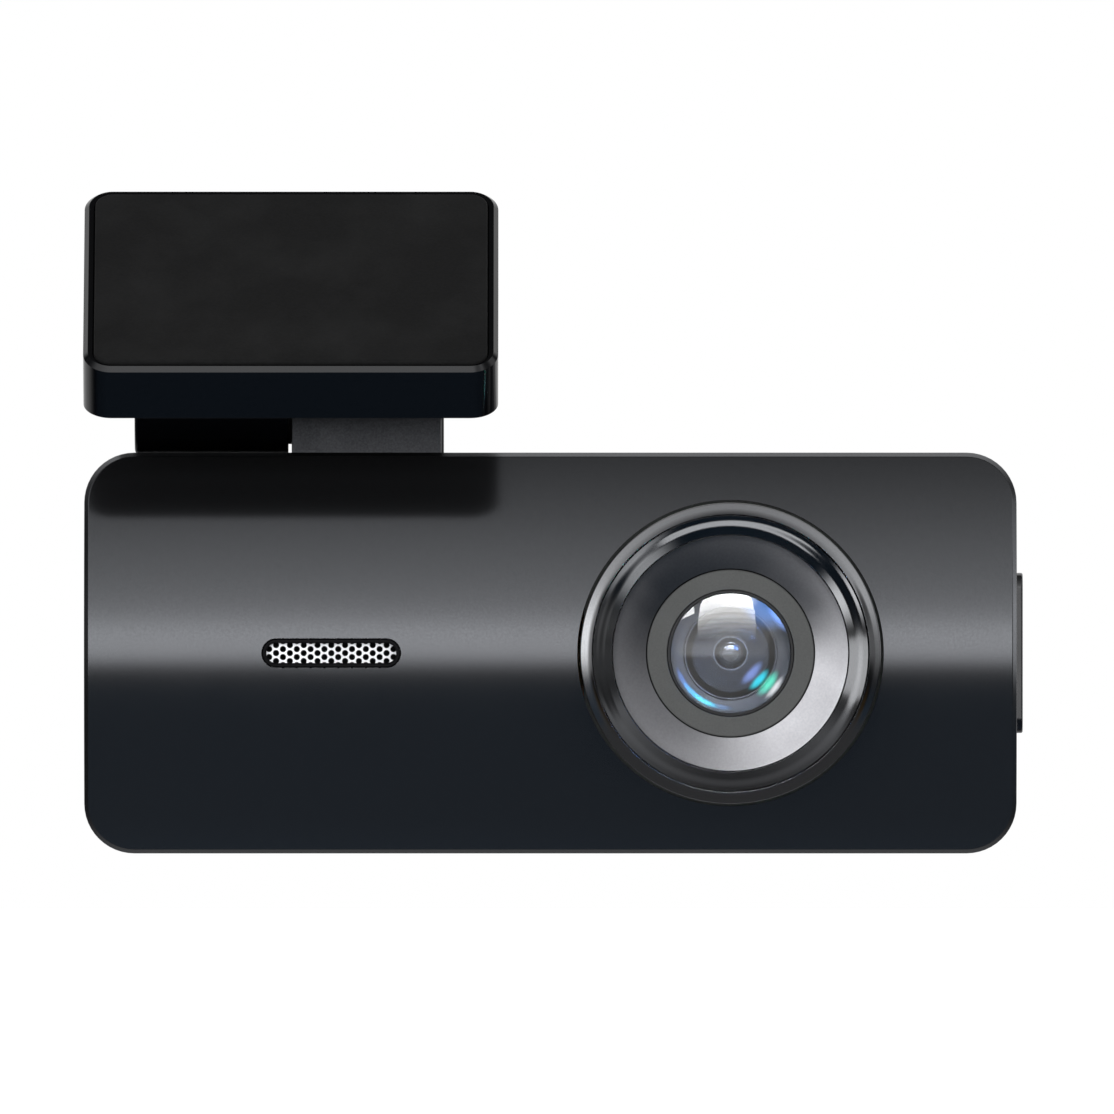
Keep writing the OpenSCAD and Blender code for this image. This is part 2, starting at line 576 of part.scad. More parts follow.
bracket_shell();
pad_plate();
adhesive_pad();
pad_plate_screws();
hinge_arm();
hinge_arm_screws();
hinge_pin();
friction_washer();
disc_springs();
lock_nut();
hinge_cap_left();
front_shell();
rear_cover();
rear_cover_screws();
body_knuckle();
knuckle_screws();
hinge_cap_right();
lens_bezel();
lens_trim_ring();
lens_cone();
lens_collar();
lens_barrel();
front_lens();
lens_spacer();
second_lens();
aperture_stop();
third_lens();
ir_filter();
lens_holder();
image_sensor();
sensor_board();
sensor_board_screws();
sensor_flex();
grille_frame();
grille_mesh();
speaker_gasket();
speaker();
spring_contacts();
main_board();
main_board_screws();
board_connectors();
processor();
memory_chip();
thermal_pad();
heat_spreader();
radio_module();
radio_antenna();
backup_battery();
microphone();
power_socket();
card_socket();
memory_card();
indicator_led();
light_pipe();
side_key_cap();
switch_plunger();
key_switch();
key_board();
key_flex();
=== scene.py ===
import json
import math

import bmesh
import bpy
from mathutils import Matrix, Vector
from mathutils.geometry import delaunay_2d_cdt


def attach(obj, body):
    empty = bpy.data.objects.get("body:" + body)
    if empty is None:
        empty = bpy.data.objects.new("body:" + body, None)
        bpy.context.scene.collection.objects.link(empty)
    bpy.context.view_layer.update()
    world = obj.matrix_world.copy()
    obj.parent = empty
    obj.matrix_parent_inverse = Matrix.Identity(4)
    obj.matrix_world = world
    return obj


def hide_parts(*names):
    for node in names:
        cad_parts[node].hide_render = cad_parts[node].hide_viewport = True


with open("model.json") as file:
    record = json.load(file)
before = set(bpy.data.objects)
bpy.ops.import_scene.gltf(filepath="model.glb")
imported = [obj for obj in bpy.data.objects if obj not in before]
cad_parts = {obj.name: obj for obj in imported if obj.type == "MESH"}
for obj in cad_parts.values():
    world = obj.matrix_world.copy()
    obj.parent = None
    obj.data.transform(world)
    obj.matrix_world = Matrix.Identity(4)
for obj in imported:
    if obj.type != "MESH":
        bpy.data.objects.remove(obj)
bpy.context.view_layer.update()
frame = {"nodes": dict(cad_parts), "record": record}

scene = bpy.context.scene
scene.view_settings.view_transform = "Standard"

# ---------- sizes, in millimetres ----------
# The camera's own frame starts at the crest of its front: X to the right, Y to the rear, Z up.

# Case: its front curves back by BULGE at the top and bottom
HALF_W, HALF_H, DEPTH = 43.0, 18.5, 22.0
CORNER, BULGE, WALL = 4.6, 6.0, 1.5
FRONT_BEVEL, FRONT_BEVEL_R, BACK_EDGE = 0.4, 0.16, 1.1
PARTING, SEAM = 19.0, 0.14
FRONT_R = (HALF_H ** 2 + BULGE ** 2) / (2 * BULGE)

# Openings of the front and of the two ends
LENS_X, TURRET_R, TURRET_GAP = 16.6, 13.85, 0.28
GRILLE_X, GRILLE_L, GRILLE_H = -20.2, 12.9, 2.75
KEY_Y, KEY_W, KEY_L, KEY_R = 12.0, 4.4, 14.8, 1.4
KEY_OUT, KEY_GAP = 0.63, 0.12
POWER_Y, POWER_Z, POWER_W, POWER_L = 14.8, -6.8, 3.6, 9.34
CARD_Y, CARD_Z, CARD_W, CARD_L, CARD_R = 15.3, 5.4, 1.5, 11.8, 0.7

# Openings of the rear cover
SCREW_X, SCREW_Z, SCREW_R = 38.3, 13.8, 1.6
LIGHT_X, LIGHT_Z, LIGHT_R = -32.0, 9.0, 1.02
VENT_X, VENT_L, VENT_W, VENT_STEP, VENTS = 20.0, 16.0, 1.1, 2.4, 5

# Hinge: the arm belongs to the bracket, the knuckle to the camera
AXIS_Y, AXIS_Z = 13.0, 23.3
ARM_X, ARM_R = (-38.405, -24.205), 4.85
KNUCKLE_X, KNUCKLE_R = (-23.885, -10.135), 4.6
END_CAP_T, END_CAP_INSET = 0.3, 0.06
RECESS_R, RECESS_DEEP = 3.25, 0.8
PIN_CAP_R, PIN_CAP_T, PIN_CAP_SUNK = 3.15, 0.75, 0.04
TROUGH_X, TROUGH_R = (-38.36, -24.045), 5.05

# Bracket: the pad's frame has its origin in the middle of the pad's face
SLOPE, UNDER = math.radians(40), math.radians(30)
PAD_W, PAD_L, PAD_T, PAD_R = 36.2, 24.1, 1.2, 1.6
BRACKET_X, BRACKET_W, BRACKET_L, BRACKET_T, BRACKET_R = -23.9, 38.2, 26.0, 5.96, 2.6
RIM_Z, RIM_BEVEL = -0.4, 0.42
LOW_EDGE = -PAD_L / 2 - 0.7
OVERHANG, UNDER_Z = 6.0, 21.59
REACH = (AXIS_Y + OVERHANG) * math.sin(UNDER) - (AXIS_Z - UNDER_Z) * math.cos(UNDER)
PAD_AT = Vector((
    BRACKET_X,
    -OVERHANG - math.sin(SLOPE) * (BRACKET_T - RIM_Z) - LOW_EDGE * math.cos(SLOPE),
    UNDER_Z + math.cos(SLOPE) * (BRACKET_T - RIM_Z) - LOW_EDGE * math.sin(SLOPE),
))

# Lens: radii round its axis and heights forward of the crest
BORE_R, THROAT_R, BORE_END, BEZEL_END = 12.7, 10.0, -3.3, -7.5
TRIM_IN, TRIM_OUT = 10.9, 12.66
CONE_R, CONE_TOP = 7.8, 3.1
GLASS_R, GLASS_DOME, GLASS_BACK = 5.5, 10.0, 0.6
HOLLOW_AT, HOLLOW_R, BALL_R = -2.2, 4.9, 1.42


def body_point(p):
    """Camera's own frame, mm, to the row frame, m."""
    return (Vector(p) - PAD_AT) / 1000


def pad_point(p):
    """The pad's frame (Y up the slope, Z out of the pad), mm, to the row frame, m."""
    x, y, z = p
    c, s = math.cos(SLOPE), math.sin(SLOPE)
    return Vector((x, y * c - z * s, y * s + z * c)) / 1000


def lens_point(r, s, a):
    """Round the lens axis: radius, distance forward of the crest, angle."""
    return body_point((LENS_X + r * math.cos(a), -s, r * math.sin(a)))


# ---------- shader nodes ----------

RELIEF_M = 0.00002


def socket(node, name, value):
    node.inputs[name].default_value = value


def feed(tree, source, target):
    """Links another node's output, or sets a plain value."""
    if isinstance(source, bpy.types.NodeSocket):
        tree.links.new(source, target)
    else:
        target.default_value = source


def vector_math(tree, operation, first, second=None):
    node = tree.nodes.new("ShaderNodeVectorMath")
    node.operation = operation
    feed(tree, first, node.inputs[0])
    if second is not None:
        feed(tree, second, node.inputs["Scale" if operation == "SCALE" else 1])
    return node.outputs["Value" if operation in ("DOT_PRODUCT", "DISTANCE", "LENGTH") else "Vector"]


def product(tree, first, second):
    node = tree.nodes.new("ShaderNodeMath")
    node.operation = "MULTIPLY"
    feed(tree, first, node.inputs[0])
    feed(tree, second, node.inputs[1])
    return node.outputs["Value"]


def ranged(tree, source, low, high, to_low, to_high, smooth=False):
    """Value that goes from to_low to to_high while its source goes from low to high."""
    node = tree.nodes.new("ShaderNodeMapRange")
    if smooth:
        node.interpolation_type = "SMOOTHSTEP"
    for name, value in (("From Min", low), ("From Max", high), ("To Min", to_low), ("To Max", to_high)):
        socket(node, name, value)
    tree.links.new(source, node.inputs["Value"])
    return node.outputs["Result"]


def noise(tree, source, grain_mm, detail, along="Vector"):
    """Noise at a real scale; along W it varies with one number only."""
    node = tree.nodes.new("ShaderNodeTexNoise")
    if along == "W":
        node.noise_dimensions = "1D"
    socket(node, "Scale", 1000 / grain_mm)
    socket(node, "Detail", detail)
    tree.links.new(source, node.inputs[along])
    return node.outputs["Fac"]


def relief(tree, height, strength):
    node = tree.nodes.new("ShaderNodeBump")
    socket(node, "Strength", strength)
    socket(node, "Distance", RELIEF_M)
    tree.links.new(height, node.inputs["Height"])
    tree.links.new(node.outputs["Normal"], tree.nodes["Principled BSDF"].inputs["Normal"])


# ---------- materials ----------

# The part of the noise's span that is used, and how much broader the roughness varies than the colour
NOISE_LOW, NOISE_HIGH = 0.3, 0.7
BROAD = 30


def finish(name, color, rough, metallic=0.0, grain=0.15, grain_mm=0.12, bump=0.0, bump_mm=0.1,
           rough_var=0.15, **extra):
    """Principled surface with fine noise in its colour and relief, and broad noise in its roughness."""
    m = bpy.data.materials.new(name)
    m.use_nodes = True
    t = m.node_tree
    surface = t.nodes["Principled BSDF"]
    where = t.nodes.new("ShaderNodeTexCoord").outputs["Object"]
    shade = ranged(t, noise(t, where, grain_mm, 2), NOISE_LOW, NOISE_HIGH, 1 - grain, 1 + grain)
    t.links.new(vector_math(t, "SCALE", color, shade), surface.inputs["Base Color"])
    gloss = ranged(t, noise(t, where, grain_mm * BROAD, 3), NOISE_LOW, NOISE_HIGH,
                   rough * (1 - rough_var), rough * (1 + rough_var))
    t.links.new(gloss, surface.inputs["Roughness"])
    if bump:
        relief(t, noise(t, where, bump_mm, 2), bump)
    socket(surface, "Metallic", metallic)
    for key, value in extra.items():
        socket(surface, key.replace("_", " "), value)
    return m


def lathed(name, color, rough, pitch_mm, strength):
    """Metal with fine lathe rings round the lens axis."""
    m = finish(name, color, rough, metallic=1.0, grain=0.06, grain_mm=0.2)
    t = m.node_tree
    where = t.nodes.new("ShaderNodeTexCoord").outputs["Object"]
    from_lens = vector_math(t, "SUBTRACT", where, body_point((LENS_X, 0, 0)))
    radius = vector_math(t, "LENGTH", vector_math(t, "MULTIPLY", from_lens, (1, 0, 1)))
    relief(t, noise(t, radius, pitch_mm, 3, along="W"), strength)
    return m


def metal(name, color, rough, **extra):
    return finish(name, color, rough, metallic=1.0, **extra)


def glass(name, color, ior):
    return finish(name, color, 0.0, grain=0.01, Transmission_Weight=1.0, IOR=ior)


MAT = {
    # Case, bracket and key
    "case_grey": finish("case paint", (0.118, 0.121, 0.127), 0.17, metallic=0.945, grain=0.08,
                        grain_mm=0.16, bump=0.02, bump_mm=0.14, rough_var=0.03),
    "knuckle_grey": metal("knuckle paint", (0.045, 0.046, 0.049), 0.34, grain=0.2, grain_mm=0.16,
                          bump=0.1, bump_mm=0.14, rough_var=0.08),
    "gloss_black": finish("gloss black", (0.0012, 0.0014, 0.002), 0.1, grain=0.2, grain_mm=0.3,
                          rough_var=0.2),
    "inner_black": finish("inner black", (0.006, 0.006, 0.0065), 0.5, grain=0.3, bump=0.2),
    "key_black": finish("key plastic", (0.004, 0.004, 0.005), 0.22, grain=0.2, grain_mm=0.3, IOR=1.75),
    "foam_tape": finish("foam tape", (0.0052, 0.0052, 0.0052), 0.95, grain=0.22, grain_mm=0.28,
                        bump=0.7, bump_mm=0.22),
    "frame_black": finish("frame plastic", (0.005, 0.005, 0.006), 0.5, grain=0.2, bump=0.1,
                          Specular_IOR_Level=0.12),
    "mesh_steel": metal("mesh steel", (0.92, 0.92, 0.93), 0.34, grain=0.1, bump=0.1),

    # Lens
    "dark_bezel": metal("bezel metal", (0.3, 0.303, 0.31), 0.15, grain=0.06, rough_var=0.05),
    "bowl_metal": metal("bowl metal", (0.1, 0.102, 0.106), 0.15, grain=0.06, rough_var=0.05),
    "turned_metal": lathed("turned metal", (0.17, 0.17, 0.178), 0.38, 0.12, 0.12),
    "collar_grey": finish("collar", (0.083, 0.085, 0.083), 0.6, grain=0.08, bump=0.15),
    "barrel_black": finish("barrel", (0.004, 0.004, 0.0045), 0.35, grain=0.2, bump=0.1),
    "spacer_black": finish("spacer", (0.05, 0.05, 0.052), 0.6, grain=0.1),
    "fibre_black": finish("fibre", (0.008, 0.008, 0.008), 0.7, grain=0.3, bump=0.3),
    "lens_glass": glass("coated glass", (0.92, 0.96, 1.0), 1.52),
    "inner_glass": glass("inner coated glass", (0.85, 0.9, 1.0), 1.12),
    "ball_glass": glass("ball coated glass", (0.85, 0.9, 1.0), 1.75),
    "filter_glass": finish("filter", (0.7, 0.35, 0.45), 0.05, grain=0.02, Transmission_Weight=0.8,
                           IOR=1.52),

    # Inside
    "steel": metal("steel", (0.55, 0.55, 0.56), 0.28, grain=0.12, bump=0.1),
    "aluminium": metal("rolled sheet", (0.6, 0.6, 0.62), 0.35, grain=0.1, bump=0.15),
    "gold_contact": metal("plated", (0.75, 0.52, 0.18), 0.25, grain=0.08),
    "cell_wrap": metal("foil", (0.55, 0.56, 0.58), 0.4, grain=0.15, grain_mm=2, bump=0.2),
    "circuit_board": finish("board", (0.012, 0.07, 0.03), 0.35, grain=0.3, grain_mm=1.4,
                            Coat_Weight=0.4, Coat_Roughness=0.1),
    "film_amber": finish("film", (0.5, 0.2, 0.03), 0.3, grain=0.15, grain_mm=1),
    "chip_black": finish("chip", (0.012, 0.012, 0.013), 0.5, grain=0.25, bump=0.3),
    "card_black": finish("card", (0.012, 0.012, 0.013), 0.45, grain=0.2, bump=0.2),
    "rubber_black": finish("rubber", (0.01, 0.01, 0.01), 0.8, bump=0.3),
    "thermal_rubber": finish("thermal pad", (0.6, 0.33, 0.4), 0.8, grain=0.1, bump=0.3),
    "light_plastic": finish("light plastic", (0.72, 0.7, 0.6), 0.4, grain=0.05),
    "clear_plastic": finish("clear", (0.85, 0.9, 0.95), 0.15, grain=0.02, Transmission_Weight=0.9,
                            IOR=1.49),
}


# ---------- mesh helpers ----------

def make(name, points, faces, mat, body, nodes, slot, normals=None, smooth=32.0):
    """One visible piece: shaded by its exact normals, or else smoothed up to an angle in degrees."""
    mesh = bpy.data.meshes.new(name)
    mesh.from_pydata([tuple(p) for p in points], [], faces)
    b = bmesh.new()
    b.from_mesh(mesh)
    if normals is None:
        bmesh.ops.recalc_face_normals(b, faces=b.faces)
    else:
        for face in b.faces:
            want = sum((normals[v.index] for v in face.verts), Vector((0, 0, 0)))
            face.normal_update()
            if face.normal.dot(want) < 0:
                face.normal_flip()
    b.to_mesh(mesh)
    b.free()
    mesh.polygons.foreach_set("use_smooth", [True] * len(mesh.polygons))
    if normals is None:
        mesh.set_sharp_from_angle(angle=math.radians(smooth))
    else:
        mesh.normals_split_custom_set_from_vertices([tuple(n) for n in normals])
    mesh.materials.append(MAT[mat])
    obj = bpy.data.objects.new(name.replace(" ", "_") + "_look", mesh)
    scene.collection.objects.link(obj)
    if normals is None:
        obj.modifiers.new("weighted", "WEIGHTED_NORMAL").keep_sharp = True
    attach(obj, body)
    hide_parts(*nodes)
    return obj


def rounded(cx, cy, w, h, r, n=8, nx=1, ny=1):
    """Rounded rectangle as (x, y, outward x, outward y), anticlockwise from the right.

    It has n steps in each corner, nx along the top and bottom and ny up the sides."""
    signs = [(1, 1), (-1, 1), (-1, -1), (1, -1)]
    corners = [(cx + sx * (w / 2 - r), cy + sy * (h / 2 - r)) for sx, sy in signs]
    out = []
    for k, (px, py) in enumerate(corners):
        for i in range(n + 1):
            a = math.pi / 2 * (k + i / n)
            out.append((px + r * math.cos(a), py + r * math.sin(a), math.cos(a), math.sin(a)))
        x0, y0, ox, oy = out[-1]
        px, py = corners[(k + 1) % 4]
        x1, y1 = px + r * ox, py + r * oy
        steps = (nx, ny)[k % 2]
        out += [(x0 + (x1 - x0) * i / steps, y0 + (y1 - y0) * i / steps, ox, oy) for i in range(1, steps)]
    return out


def stadium(cx, cy, length, height, n=12):
    """Slot with round ends, in the same form as rounded."""
    r = height / 2
    ring = []
    for side, start in ((1, -math.pi / 2), (-1, math.pi / 2)):
        px = cx + side * (length / 2 - r)
        for i in range(n + 1):
            a = start + math.pi * i / n
            ring.append((px + r * math.cos(a), cy + r * math.sin(a), math.cos(a), math.sin(a)))
    return ring


def circle(cx, cy, r, n):
    turns = [2 * math.pi * i / n for i in range(n)]
    return [(cx + r * math.cos(a), cy + r * math.sin(a), math.cos(a), math.sin(a)) for a in turns]


def fillet(radius, steps=6):
    """Rounded edge from the wall to the face: inset, drop, and how far it faces out and ahead."""
    turns = [math.pi / 2 * i / steps for i in range(steps + 1)]
    return [(radius * (1 - math.cos(a)), radius * (1 - math.sin(a)), math.cos(a), math.sin(a)) for a in turns]


def chamfer(width, radius, steps=3):
    """Like fillet, for a 45 degree chamfer with both of its edges rounded."""
    far = width + radius * math.tan(math.pi / 8)
    out = []
    for i in range(steps + 1):
        a = math.pi / 4 * i / steps
        out.append((radius * (1 - math.cos(a)), far - radius * math.sin(a), math.cos(a), math.sin(a)))
    for i in range(steps + 1):
        a = math.pi / 4 * (1 + i / steps)
        out.append((far - radius * math.cos(a), radius * (1 - math.sin(a)), math.cos(a), math.sin(a)))
    return out


def bands(rings, skip=None):
    """Four-sided faces between rings of equal length, which follow each other in the list of points."""
    n = len(rings[0])
    faces = []
    for k in range(len(rings) - 1):
        for i in range(n):
            j = (i + 1) % n
            if not (skip and skip(i, j)):
                faces.append((k * n + i, k * n + j, (k + 1) * n + j, (k + 1) * n + i))
    return faces


def loft(rings, capped=True):
    """Skin over the rings; a capped one is closed by the first and the last."""
    n = len(rings[0])
    points = [p for ring in rings for p in ring]
    faces = bands(rings)
    if capped:
        faces.append(tuple(range(n)))
        faces.append(tuple(range(len(points) - n, len(points))))
    return points, faces


def turned(name, profile, mat, body, nodes, slot, segments=192, smooth=28.0):
    """Closed surface round the lens axis from (radius, forward) pairs. Points at radius 0 become one."""
    points, faces, rows = [], [], []
    for r, s in profile:
        if r < 1e-6:
            rows.append([len(points)])
            points.append(lens_point(0, s, 0))
        else:
            rows.append(list(range(len(points), len(points) + segments)))
            points.extend(lens_point(r, s, 2 * math.pi * i / segments) for i in range(segments))
    pairs = list(zip(rows, rows[1:]))
    if len(rows[0]) > 1 and len(rows[-1]) > 1:
        pairs.append((rows[-1], rows[0]))
    for a, b in pairs:
        for i in range(segments):
            j = (i + 1) % segments
            if len(a) == 1:
                faces.append((a[0], b[j], b[i]))
            elif len(b) == 1:
                faces.append((a[i], a[j], b[0]))
            else:
                faces.append((a[i], a[j], b[j], b[i]))
    return make(name, points, faces, mat, body, nodes, slot, smooth=smooth)


def arc(cr, cs, radius, start, end, n):
    """Part of a profile round (cr, cs), between two angles in degrees."""
    turns = [math.radians(start + (end - start) * i / n) for i in range(n + 1)]
    return [(cr + radius * math.cos(a), cs + radius * math.sin(a)) for a in turns]


def slanted(profile, start, end, steps, slope):
    """Profile with a rising stretch between two radii, whose slope in degrees is a function of the radius."""
    out = list(profile)
    for i in range(1, steps + 1):
        r0, s0 = out[-1]
        r1 = start + (end - start) * i / steps
        out.append((r1, s0 + abs(r1 - r0) * math.tan(math.radians(slope((r0 + r1) / 2)))))
    return out


def inside(x, y, ring):
    hit = False
    for i in range(len(ring)):
        x0, y0, x1, y1 = ring[i - 1][0], ring[i - 1][1], ring[i][0], ring[i][1]
        if (y0 > y) != (y1 > y) and x < (x1 - x0) * (y - y0) / (y1 - y0) + x0:
            hit = not hit
    return hit


def clear_of(x, y, ring, gap):
    return all((x - p[0]) ** 2 + (y - p[1]) ** 2 > gap ** 2 for p in ring)


def filled(outer, holes, steps):
    """Triangles that fill a flat outline round its holes, with extra points on a grid."""
    points, edges = [], []
    for ring in [outer] + holes:
        start = len(points)
        points += [Vector((p[0], p[1])) for p in ring]
        edges += [(start + i, start + (i + 1) % len(ring)) for i in range(len(ring))]
    x0, x1 = min(p[0] for p in outer), max(p[0] for p in outer)
    y0, y1 = min(p[1] for p in outer), max(p[1] for p in outer)
    dx, dy = steps
    gap = 0.3 * dy
    for i in range(1, int((x1 - x0) / dx)):
        for j in range(1, int((y1 - y0) / dy)):
            x, y = x0 + i * dx, y0 + j * dy
            if not inside(x, y, outer) or not clear_of(x, y, outer, gap):
                continue
            if any(inside(x, y, h) or not clear_of(x, y, h, gap) for h in holes):
                continue
            points.append(Vector((x, y)))
    got, _, tris, _, _, _ = delaunay_2d_cdt(points, edges, [], 1, 1e-5)
    keep = []
    for tri in tris:
        c = sum((got[i] for i in tri), Vector((0, 0))) / 3
        if not any(inside(c.x, c.y, h) for h in holes):
            keep.append(tuple(tri))
    return [(p.x, p.y) for p in got], keep


class Skin:
    """Collects the points, exact normals and faces of one piece."""

    def __init__(self):
        self.points, self.normals, self.faces = [], [], []

    def add(self, points, normals, faces):
        start = len(self.points)
        self.points += points
        self.normals += normals
        self.faces += [tuple(start + i for i in f) for f in faces]

    def strip(self, rings, normals, skip=None):
        self.add([p for r in rings for p in r], [m for r in normals for m in r], bands(rings, skip))


# ---------- case: front shell and rear cover ----------

def face_y(z):
    """Depth of the curved front at a height."""
    return FRONT_R - math.sqrt(FRONT_R ** 2 - z ** 2)


def face_slope(z):
    return z / math.sqrt(FRONT_R ** 2 - z ** 2)


def case_ring(inset):
    return rounded(0, 0, 2 * (HALF_W - inset), 2 * (HALF_H - inset), CORNER - inset, n=12, nx=40, ny=26)


OUTLINE = case_ring(0)
FRONT_EDGE = chamfer(FRONT_BEVEL, FRONT_BEVEL_R)
EDGE_IN, EDGE_DROP = FRONT_EDGE[-1][0], FRONT_EDGE[0][1]
SEAM_TILT = 0.7   # how far the normals at the seam lean towards the other half
STRAIGHT = 0.999  # an outward share above this means a straight side, not a corner
TURRET_HOLE = circle(LENS_X, 0, TURRET_R + TURRET_GAP, 160)
GRILLE_HOLE = stadium(GRILLE_X, 0, GRILLE_L, GRILLE_H, 16)


def front_face(skin):
    """Bevelled edge and curved front, filled round the turret and the grille."""
    rings, normals = [], []
    for inset, drop, c, s in FRONT_EDGE:
        ring = case_ring(inset)
        rings.append([body_point((x, face_y(z) + drop, z)) for x, z, ox, oz in ring])
        normals.append([Vector((c * ox, -s, s * face_slope(z) + c * oz)).normalized()
                        for x, z, ox, oz in ring])
    skin.strip(rings, normals)
    flat, tris = filled(case_ring(EDGE_IN), [TURRET_HOLE, GRILLE_HOLE], (1.1, 0.75))
    skin.add([body_point((x, face_y(z), z)) for x, z in flat],
             [Vector((0, -1, face_slope(z))).normalized() for x, z in flat], tris)


def on_flat(p, q):
    """True on the two ends and the roof, which are filled round their openings instead."""
    return (abs(p[2]) > STRAIGHT and abs(q[2]) > STRAIGHT) or (p[3] > STRAIGHT and q[3] > STRAIGHT)


def walls(skin):
    """Corners and underside from the front's edge to the seam, and the bevel at the seam."""
    front = [body_point((x, face_y(z) + EDGE_DROP, z)) for x, z, ox, oz in OUTLINE]
    rear = [body_point((x, PARTING - SEAM, z)) for x, z, ox, oz in OUTLINE]
    seam = [body_point((x, PARTING, z)) for x, z, ox, oz in case_ring(SEAM)]
    outward = [Vector((ox, 0, oz)) for x, z, ox, oz in OUTLINE]
    tilted = [Vector((ox, SEAM_TILT, oz)).normalized() for x, z, ox, oz in OUTLINE]
    skin.strip([front, rear], [outward, outward], skip=lambda i, j: on_flat(OUTLINE[i], OUTLINE[j]))
    skin.strip([rear, seam], [tilted, tilted])


def end_openings(side):
    """Openings of one end of the case as (y, z) outlines: the key's, or the power inlet and the card slot."""
    if side > 0:
        return [rounded(KEY_Y, 0, KEY_W + 2 * KEY_GAP, KEY_L + 2 * KEY_GAP, KEY_R + KEY_GAP, n=10)]
    power = [(y, z, oy, oz) for z, y, oz, oy in stadium(POWER_Z, POWER_Y, POWER_L, POWER_W)]
    return [power, rounded(CARD_Y, CARD_Z, CARD_W, CARD_L, CARD_R, n=6)]


def end_wall(skin, side):
    """Left or right end of the case, filled round its openings."""
    run = sorted((p for p in OUTLINE if p[2] * side > STRAIGHT), key=lambda p: p[1])
    border = [(face_y(p[1]) + EDGE_DROP, p[1]) for p in run]
    border += [(PARTING - SEAM, p[1]) for p in reversed(run)]
    openings = end_openings(side)
    flat, tris = filled(border, openings, (1.5, 1.5))
    skin.add([body_point((side * HALF_W, y, z)) for y, z in flat],
             [Vector((side, 0, 0))] * len(flat), tris)
    for ring in openings:
        deep = [[body_point((side * (HALF_W - d), y, z)) for y, z, oy, oz in ring] for d in (0, WALL)]
        skin.strip(deep, [[Vector((0, -oy, -oz)) for y, z, oy, oz in ring]] * 2)


def roof(skin):
    """Roof of the case, with the trough in which the round end of the hinge arm turns."""
    run = sorted((p for p in OUTLINE if p[3] > STRAIGHT), key=lambda p: p[0])
    border = [(p[0], BULGE + EDGE_DROP) for p in run] + [(p[0], PARTING - SEAM) for p in reversed(run)]
    swing = math.acos((AXIS_Z - HALF_H) / TROUGH_R)
    turns = [swing * (i / 8 - 1) for i in range(17)]
    dip = [(TROUGH_R * math.sin(a), TROUGH_R * math.cos(a)) for a in turns]
    (left, right), front, rear = TROUGH_X, AXIS_Y + dip[0][0], AXIS_Y + dip[-1][0]
    trough = [(left, front), (right, front), (right, rear), (left, rear)]
    flat, tris = filled(border, [trough], (2.5, 1.5))
    skin.add([body_point((x, y, HALF_H)) for x, y in flat], [Vector((0, 0, 1))] * len(flat), tris)
    ends = [[body_point((x, AXIS_Y + dy, AXIS_Z - dz)) for dy, dz in dip] for x in TROUGH_X]
    skin.strip(ends, [[Vector((0, -dy, dz)).normalized() for dy, dz in dip]] * 2,
               skip=lambda i, j: j == 0)
    for end, side in zip(ends, (1, -1)):
        skin.add(end, [Vector((side, 0, 0))] * len(dip), [tuple(range(len(dip)))])


def front_shell():
    skin = Skin()
    front_face(skin)
    walls(skin)
    for side in (-1, 1):
        end_wall(skin, side)
    roof(skin)
    for hole in (TURRET_HOLE, GRILLE_HOLE):
        deep = [[body_point((x, face_y(z) + d, z)) for x, z, ox, oz in hole] for d in (0, WALL + 1)]
        skin.strip(deep, [[Vector((-ox, 0, -oz)) for x, z, ox, oz in hole]] * 2)
    make("front shell", skin.points, skin.faces, "case_grey", "camera", ["front_shell"], "case_grey",
         normals=skin.normals)


def cover_edge(skin):
    """Bevel at the seam, wall, and rounded edge of the rear cover."""
    seam = [[body_point((x, y, z)) for x, z, ox, oz in case_ring(inset)]
            for y, inset in [(PARTING, SEAM), (PARTING + SEAM, 0)]]
    skin.strip(seam, [[Vector((ox, -SEAM_TILT, oz)).normalized() for x, z, ox, oz in OUTLINE]] * 2)
    rings = [seam[1]]
    normals = [[Vector((ox, 0, oz)) for x, z, ox, oz in OUTLINE]]
    for inset, drop, c, s in fillet(BACK_EDGE, 8):
        ring = case_ring(inset)
        rings.append([body_point((x, DEPTH - drop, z)) for x, z, ox, oz in ring])
        normals.append([Vector((c * ox, s, c * oz)).normalized() for x, z, ox, oz in ring])
    skin.strip(rings, normals)


def cover_face(skin):
    """Rear face, filled round the screws, the light pipe and the cooling slots."""
    openings = [circle(x, z, SCREW_R, 40) for x in (-SCREW_X, SCREW_X) for z in (-SCREW_Z, SCREW_Z)]
    openings.append(circle(LIGHT_X, LIGHT_Z, LIGHT_R, 32))
    openings += [stadium(VENT_X, VENT_STEP * (i - VENTS // 2), VENT_L, VENT_W, 10) for i in range(VENTS)]
    flat, tris = filled(case_ring(BACK_EDGE), openings, (2.2, 2.2))
    skin.add([body_point((x, DEPTH, z)) for x, z in flat], [Vector((0, 1, 0))] * len(flat), tris)
    for ring in openings:
        deep = [[body_point((x, DEPTH - d, z)) for x, z, ox, oz in ring] for d in (0, WALL)]
        skin.strip(deep, [[Vector((-ox, 0, -oz)) for x, z, ox, oz in ring]] * 2)


def rear_cover():
    skin = Skin()
    cover_edge(skin)
    cover_face(skin)
    make("rear cover", skin.points, skin.faces, "case_grey", "camera", ["rear_cover"], "case_grey",
         normals=skin.normals)


front_shell()
rear_cover()


# ---------- bracket ----------

def under_z(y):
    """Underside of the bracket, in the pad's frame."""
    return RIM_Z - BRACKET_T + (y - LOW_EDGE) * math.tan(UNDER - SLOPE)


